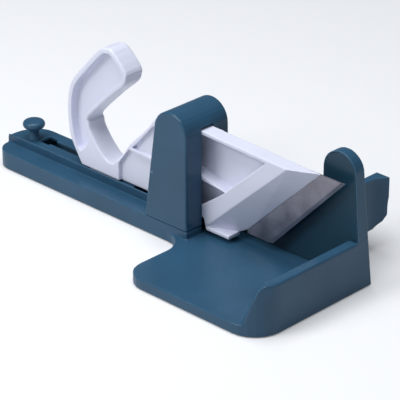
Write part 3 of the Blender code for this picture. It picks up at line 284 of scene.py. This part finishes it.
BLADE_TURN = (0, radians(44.4), 0)
TEAL = (0.027, 0.086, 0.152)
# lighter tints painted on the sharp edges of the teal and dark plastics as highlights
TEAL_EDGE_HIGHLIGHT = (0.13, 0.26, 0.38)
DARK = (0.011, 0.043, 0.073)
DARK_EDGE_HIGHLIGHT = (0.06, 0.13, 0.19)
WHITE = (0.76, 0.775, 0.90)
NATURAL = (0.75, 0.75, 0.73)
STAINED = (0.30, 0.285, 0.325)
BRIGHT = (0.62, 0.62, 0.64)
BLACK = (0.02, 0.02, 0.02)
finishes = {
    "teal_plastic": plastic("teal_plastic_finish", TEAL, 0.34, edge_highlight=TEAL_EDGE_HIGHLIGHT),
    "dark_plastic": plastic("dark_plastic_finish", DARK, 0.36, variation=0.10, edge_highlight=DARK_EDGE_HIGHLIGHT),
    "white_plastic": plastic("white_plastic_finish", WHITE, 0.34, variation=0.02),
    "blade_steel": steel("blade_steel_finish", STAINED, 0.40, turn=BLADE_TURN, bright=1.30),
    "screw_steel": steel("screw_steel_finish", BRIGHT, 0.34, turn=(0, 0, 0), bright=1.10),
    "rubber": rubber("rubber_finish", BLACK),
    "slippery_plastic": plastic("slippery_plastic_finish", NATURAL, 0.28, variation=0.02),
}


# Pieces

slot_of = {row["node"]: row["material_slot"] for row in frame["record"]["subparts"]}
bodies = frame["record"]["behaviour"]["bodies"]
body_of = {node: body for body, members in bodies.items() for node in members}


def finish_with(piece, slot):
    piece.data.materials.clear()
    piece.data.materials.append(finishes[slot])


def baked(piece):
    """The piece with its modifiers made part of its mesh."""
    bpy.context.view_layer.update()
    seen = piece.evaluated_get(bpy.context.evaluated_depsgraph_get())
    mesh = bpy.data.meshes.new_from_object(seen)
    piece.modifiers.clear()
    piece.data = mesh
    return piece


def stand_in(piece, node):
    """Gives a piece its node's finish and body, and hides the node."""
    finish_with(piece, slot_of[node])
    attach(piece, body_of[node])
    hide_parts(node)
    return piece


def add_object(name, data):
    made = bpy.data.objects.new(name, data)
    bpy.context.scene.collection.objects.link(made)
    return made


def copy_of(node, name):
    return add_object(name, nodes[node].data.copy())


def soften(piece, width, angle):
    """Adds a fine rounding to the edges that bend by more than the angle, in degrees."""
    soft = piece.modifiers.new("soft_edges", "BEVEL")
    soft.width = width
    soft.segments = 2
    soft.limit_method = "ANGLE"
    soft.angle_limit = radians(angle)


def shade_round(piece, angle):
    """Shades a piece smooth, and sharp where its faces meet at more than the angle, in degrees."""
    piece.data.shade_smooth()
    piece.data.set_sharp_from_angle(angle=radians(angle))


def points_of(mesh):
    points = np.empty(len(mesh.vertices) * 3)
    mesh.vertices.foreach_get("co", points)
    return points.reshape(-1, 3)


def put_points(mesh, points):
    mesh.vertices.foreach_set("co", points.ravel())
    mesh.update()


def clean(piece):
    """Drops the faces that have shrunk to nothing."""
    work = bmesh.new()
    work.from_mesh(piece.data)
    bmesh.ops.dissolve_degenerate(work, edges=work.edges, dist=1e-5)
    work.to_mesh(piece.data)
    work.free()


def ramp_down(value, low, high):
    """1 up to low, 0 from high on."""
    return np.clip((high - value) / (high - low), 0, 1)


def ramp_up(value, low, high):
    """0 up to low, 1 from high on."""
    return np.clip((value - low) / (high - low), 0, 1)


def relax_region(piece, weight, rounds):
    """Rounds one region more than the rest. weight takes points, and gives each its share, 0 to 1."""
    mesh = piece.data
    points = points_of(mesh)
    share = np.clip(weight(points), 0, 1)
    ends = np.empty(len(mesh.edges) * 2, dtype=np.int64)
    mesh.edges.foreach_get("vertices", ends)
    ends = ends.reshape(-1, 2)
    ends = ends[(share[ends[:, 0]] > 0) | (share[ends[:, 1]] > 0)]
    here = np.concatenate((ends[:, 0], ends[:, 1]))
    there = np.concatenate((ends[:, 1], ends[:, 0]))
    used, place = np.unique(here, return_inverse=True)
    count = np.bincount(place)[:, None]
    pull = share[used][:, None] * 0.5
    for _ in range(rounds):
        sums = [np.bincount(place, points[there, axis]) for axis in range(3)]
        mean = np.stack(sums, axis=1) / count
        points[used] += (mean - points[used]) * pull
    put_points(mesh, points)


def spread_feet(piece, node, feet):
    """Widens the ends of the feet a little, over the round edge of what they stand on."""
    mesh = piece.data
    points = points_of(mesh)
    (left, front, _), (right, back, _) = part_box(node)
    for height, least, most in feet:
        outer = front if most <= 0 else back
        here = (points[:, 1] > least) & (points[:, 1] < most)
        share = here * ramp_down(points[:, 2] - height, 0, FOOT_SPREAD_RISE) * FOOT_SPREAD
        points[:, 0] += share * np.clip((2 * points[:, 0] - left - right) / (right - left), -1, 1)
        points[:, 1] += share * np.clip(points[:, 1] / outer, 0, 1) * np.sign(outer)
    put_points(mesh, points)


def soft_moulding(name, node, rounds, feet=(), regions=()):
    """A moulding with the CAD's shape whose edges and inner corners are round, as a mould makes them.
    feet are (height, least Y, most Y) of the faces that sit on another piece, and regions are
    (weight, rounds) of the stretches that are rounder."""
    piece = copy_of(node, name)
    for height, front, back in feet:
        for vertex in piece.data.vertices:
            if abs(vertex.co.z - height) < SEAT_GAP / 3 and front < vertex.co.y < back:
                vertex.co.z -= SEAT_DRAW
    size = FINE
    remesh = piece.modifiers.new("even_mesh", "REMESH")
    remesh.mode = "VOXEL"
    remesh.voxel_size = size
    relax = piece.modifiers.new("round_edges", "SMOOTH")
    relax.factor = 0.5
    relax.iterations = max(1, round(rounds * (FINE / size) ** 2))
    baked(piece)
    for height, front, back in feet:
        for vertex in piece.data.vertices:
            if vertex.co.z < height - SEAT_DEPTH and front < vertex.co.y < back:
                vertex.co.z = height - SEAT_DEPTH
    if feet:
        spread_feet(piece, node, feet)
        clean(piece)
    for weight, more in regions:
        relax_region(piece, weight, round(more * (FINE / size) ** 2))
    thin = piece.modifiers.new("fewer_faces", "DECIMATE")
    thin.ratio = KEEP_FACES
    baked(piece)
    piece.data.shade_smooth()
    weigh = piece.modifiers.new("flat_faces_first", "WEIGHTED_NORMAL")
    weigh.mode = "FACE_AREA"
    weigh.keep_sharp = True
    return stand_in(piece, node)


def turned(name, node, profile, place, steps=64):
    """A turned piece: (radius, height) from the top of its outside down, both ends on the axis."""
    mesh = bpy.data.meshes.new(name)
    points = [(radius, 0, height) for radius, height in profile]
    edges = [(n, n + 1) for n in range(len(profile) - 1)]
    mesh.from_pydata(points, edges, [])
    piece = add_object(name, mesh)
    screw = piece.modifiers.new("turn", "SCREW")
    screw.steps = steps
    screw.render_steps = steps
    screw.use_merge_vertices = True
    screw.merge_threshold = 0.00001
    baked(piece)
    piece.data.transform(Matrix.Translation(place))
    shade_round(piece, 45)
    return stand_in(piece, node)


def middle_of(node):
    """A node's centre, and its lowest and highest corners."""
    low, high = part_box(node)
    return [(a + b) / 2 for a, b in zip(low, high)], low, high


def arc(x, y, radius, start, end, steps):
    """Points of an arc round (x, y), from the start angle to the end angle in degrees."""
    turns = [radians(start + (end - start) * n / steps) for n in range(steps + 1)]
    return [(x + radius * cos(t), y + radius * sin(t)) for t in turns]


def make_peg():
    """The stop peg: a low domed button on a waisted stem."""
    (x, y, _), low, high = middle_of("stop_peg")
    top = high[2]
    head = (high[0] - low[0]) / 2
    under = top - PEG_HEAD_THICK
    deck = under - PEG_STEM_LENGTH
    edge = PEG_HEAD_EDGE
    profile = [(0, top)] + [(head * share, top - drop) for share, drop in PEG_DOME]
    profile += arc(head - edge, top - PEG_DOME_DROP - edge, edge, 78, -50, 14)
    profile += [(PEG_STEM_RADIUS + PEG_FILLET, under + PEG_FILLET_RISE)]
    profile += [(PEG_STEM_RADIUS, under - PEG_FILLET_DROP)]
    profile += [(PEG_NECK_RADIUS, under - PEG_NECK_START), (PEG_NECK_RADIUS, deck + PEG_NECK_END)]
    profile += [(PEG_STEM_RADIUS, deck + PEG_FOOT_TOP), (PEG_STEM_RADIUS, deck), (PEG_SHANK_RADIUS, deck)]
    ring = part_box("peg_ring")
    groove = PEG_SHANK_RADIUS - PEG_GROOVE_DEPTH
    groove_top = ring[1][2] + SEAT_GAP
    groove_foot = ring[0][2] - SEAT_GAP
    profile += [(PEG_SHANK_RADIUS, groove_top), (groove, groove_top)]
    profile += [(groove, groove_foot), (PEG_SHANK_RADIUS, groove_foot)]
    profile += [(PEG_SHANK_RADIUS, low[2] + PEG_TIP), (PEG_SHANK_RADIUS - PEG_TIP, low[2]), (0, low[2])]
    turned("peg_turned", "stop_peg", profile, (x, y, 0))


def make_foot(node):
    """A rubber foot: a disc with a round rim and a shallow dish underneath."""
    (x, y, _), low, high = middle_of(node)
    wide = (high[0] - low[0]) / 2
    profile = [(0, high[2]), (wide, high[2])]
    profile += arc(wide - FOOT_RIM, low[2] + FOOT_RIM, FOOT_RIM, 0, -90, 6)
    dish = low[2] + FOOT_DISH
    profile += [(wide * FOOT_DISH_SPAN[0], low[2]), (wide * FOOT_DISH_SPAN[1], dish), (0, dish)]
    turned(f"rubber_{node}", node, profile, (x, y, 0), 48)


def crossed_screw(node, axis):
    """A screw with its cross recess. axis is the way its head faces."""
    centre, low, high = middle_of(node)
    facing = Vector(axis)
    along = [abs(part) for part in axis].index(1)
    tip = high[along] if sum(axis) > 0 else low[along]
    centre[along] = tip
    piece = copy_of(node, f"crossed_{node}")
    work = bmesh.new()
    turn = facing.to_track_quat("Z", "Y").to_matrix().to_4x4()
    for quarter in (0, 90):
        arm = Matrix.Diagonal((2 * CROSS_REACH, CROSS_WIDTH, 2 * CROSS_DEPTH, 1))
        spin = Matrix.Rotation(radians(quarter + CROSS_TURN), 4, "Z")
        place = Matrix.Translation(centre) @ turn @ spin @ arm
        bmesh.ops.create_cube(work, size=1, matrix=place)
    mesh = bpy.data.meshes.new("cross")
    work.to_mesh(mesh)
    work.free()
    cross = add_object("cross", mesh)
    recess = piece.modifiers.new("recess", "BOOLEAN")
    recess.object = cross
    recess.use_self = True
    soften(piece, SCREW_EDGE, 40)
    baked(piece)
    bpy.data.objects.remove(cross)
    shade_round(piece, 35)
    stand_in(piece, node)


def make_blade():
    """The blade, with the fine rounding that catches the light along its ground edge."""
    piece = copy_of("blade", "ground_blade")
    soften(piece, BLADE_EDGE, 12)
    baked(piece)
    shade_round(piece, 9)
    stand_in(piece, "blade")


def outer_wall_top(points):
    """The right wall's top, towards its outer face and round the tray's front corner."""
    (_, front, _), (right, _, _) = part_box("base_tray")
    inside = np.minimum(right - points[:, 0], points[:, 1] - front)
    wall = ramp_down(inside, *WALL_EDGE)
    before_post = ramp_down(points[:, 1] - POST_FRONT, *BEFORE_POST)
    above_tray = ramp_up(points[:, 2], *ABOVE_TRAY)
    return wall * before_post * above_tray


def tray_rim(points):
    """The tray's top edge, along its front and left sides."""
    (_, front, _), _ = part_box("base_tray")
    near = ramp_down(np.minimum(points[:, 1] - front, points[:, 0] - TRAY_LEFT), *RIM_EDGE)
    before_channel = points[:, 1] < 0
    on_tray = points[:, 0] > TRAY_LEFT - RIM_START
    return near * before_channel * ramp_up(points[:, 2], *RIM_HEIGHT) * on_tray


def fence_end(points):
    """The fence's low left end on the deck."""
    (left, _, _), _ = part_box("base_tray")
    return ramp_down(points[:, 0] - left, *FENCE_REACH) * ramp_up(points[:, 2], *ABOVE_DECK)


def rest_back(points):
    """The lower corners of the rest's back end, which are large and round."""
    _, (_, rear, _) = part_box("sausage_rest")
    return ramp_down(rear - points[:, 1], *REST_REACH) * ramp_down(points[:, 2], *REST_HEIGHT)


def dress_nodes():
    """Gives every CAD node its finish, also where a piece will stand in for it."""
    for name, node in nodes.items():
        node.data.materials.clear()
        node.data.materials.append(finishes[slot_of[name]])


# Stage

def make_floor():
    """A plain floor, a little brighter to the camera than the lamps make it."""
    mesh = bpy.data.meshes.new("floor")
    reach = FLOOR_REACH
    corners = [(-reach, -reach, 0), (reach, -reach, 0), (reach, reach, 0), (-reach, reach, 0)]
    mesh.from_pydata(corners, [], [(0, 1, 2, 3)])
    floor = add_object("floor", mesh)
    made, tree, shader = shader_of("floor_finish")
    shader.inputs["Base Color"].default_value = (*FLOOR_COLOUR, 1)
    shader.inputs["Roughness"].default_value = 0.9
    shader.inputs["Specular IOR Level"].default_value = 0.1
    seen = tree.nodes.new("ShaderNodeLightPath")
    glow = tree.nodes.new("ShaderNodeMath")
    glow.operation = "MULTIPLY"
    glow.inputs[1].default_value = FLOOR_GLOW
    tree.links.new(seen.outputs["Is Camera Ray"], glow.inputs[0])
    shader.inputs["Emission Color"].default_value = (1, 1, 1, 1)
    tree.links.new(glow.outputs[0], shader.inputs["Emission Strength"])
    mesh.materials.append(made)


def make_world():
    """A dim bluish light from all round, white where the camera looks at it."""
    world = bpy.data.worlds.new("studio")
    bpy.context.scene.world = world
    world.use_nodes = True
    tree = world.node_tree
    light = tree.nodes["Background"]
    light.inputs["Color"].default_value = (*WORLD_COLOUR, 1)
    light.inputs["Strength"].default_value = WORLD_STRENGTH
    shown = tree.nodes.new("ShaderNodeBackground")
    shown.inputs["Color"].default_value = (1, 1, 1, 1)
    seen = tree.nodes.new("ShaderNodeLightPath")
    mix = tree.nodes.new("ShaderNodeMixShader")
    tree.links.new(seen.outputs["Is Camera Ray"], mix.inputs["Fac"])
    tree.links.new(light.outputs[0], mix.inputs[1])
    tree.links.new(shown.outputs[0], mix.inputs[2])
    tree.links.new(mix.outputs[0], tree.nodes["World Output"].inputs["Surface"])


def area_light(name, place, size, power, colour=(1, 1, 1)):
    """A square lamp that faces the object: size in metres, power in watts."""
    lamp = bpy.data.lights.new(name, "AREA")
    lamp.shape = "SQUARE"
    lamp.size = size
    lamp.energy = power
    lamp.color = colour
    holder = add_object(name, lamp)
    holder.location = place
    towards = LAMP_TARGET - Vector(place)
    holder.rotation_mode = "QUATERNION"
    holder.rotation_quaternion = towards.to_track_quat("-Z", "Y")


def make_camera():
    """The photograph's angle, with the frame's centre a little off the target."""
    level = cos(VIEW_ELEVATION)
    back = Vector((sin(VIEW_AZIMUTH) * level, -cos(VIEW_AZIMUTH) * level, sin(VIEW_ELEVATION)))
    right = Vector((0, 0, 1)).cross(back).normalized()
    up = back.cross(right)
    camera = add_object("camera", bpy.data.cameras.new("camera"))
    camera.data.lens = VIEW_LENS
    camera.location = VIEW_TARGET + back * VIEW_DISTANCE
    centre = VIEW_TARGET + right * FRAME_CENTRE_RIGHT + up * FRAME_CENTRE_UP
    camera.rotation_mode = "QUATERNION"
    camera.rotation_quaternion = (centre - camera.location).to_track_quat("-Z", "Y")
    camera.data.clip_end = 20
    bpy.context.scene.camera = camera


make_camera()
make_world()
make_floor()
area_light("key", (-0.5, -1.5, 1.25), size=0.8, power=14)
area_light("top", (0.0, -0.3, 1.9), size=1.6, power=36, colour=(0.95, 0.97, 1.0))
dress_nodes()

BASE_REGIONS = ((outer_wall_top, LARGE_ROUNDS), (tray_rim, RIM_ROUNDS), (fence_end, FENCE_ROUNDS))
soft_moulding("base_moulding", "base_tray", 2, regions=BASE_REGIONS)
soft_moulding("arch_moulding", "guide_arch", 2, feet=ARCH_FEET)
soft_moulding("plate_moulding", "shear_plate", 1)
soft_moulding("rest_moulding", "sausage_rest", 2, regions=((rest_back, LARGE_ROUNDS),))
soft_moulding("slide_moulding", "slide_body", 1)
make_peg()
make_blade()
for node in nodes:
    if node.startswith("foot_"):
        make_foot(node)
    elif node.startswith(("arch_screw", "shoe_screw")):
        crossed_screw(node, (0, 0, -1))
    elif "screw" in node:
        crossed_screw(node, (0, 1, 0))

bpy.context.scene.view_settings.view_transform = "Standard"
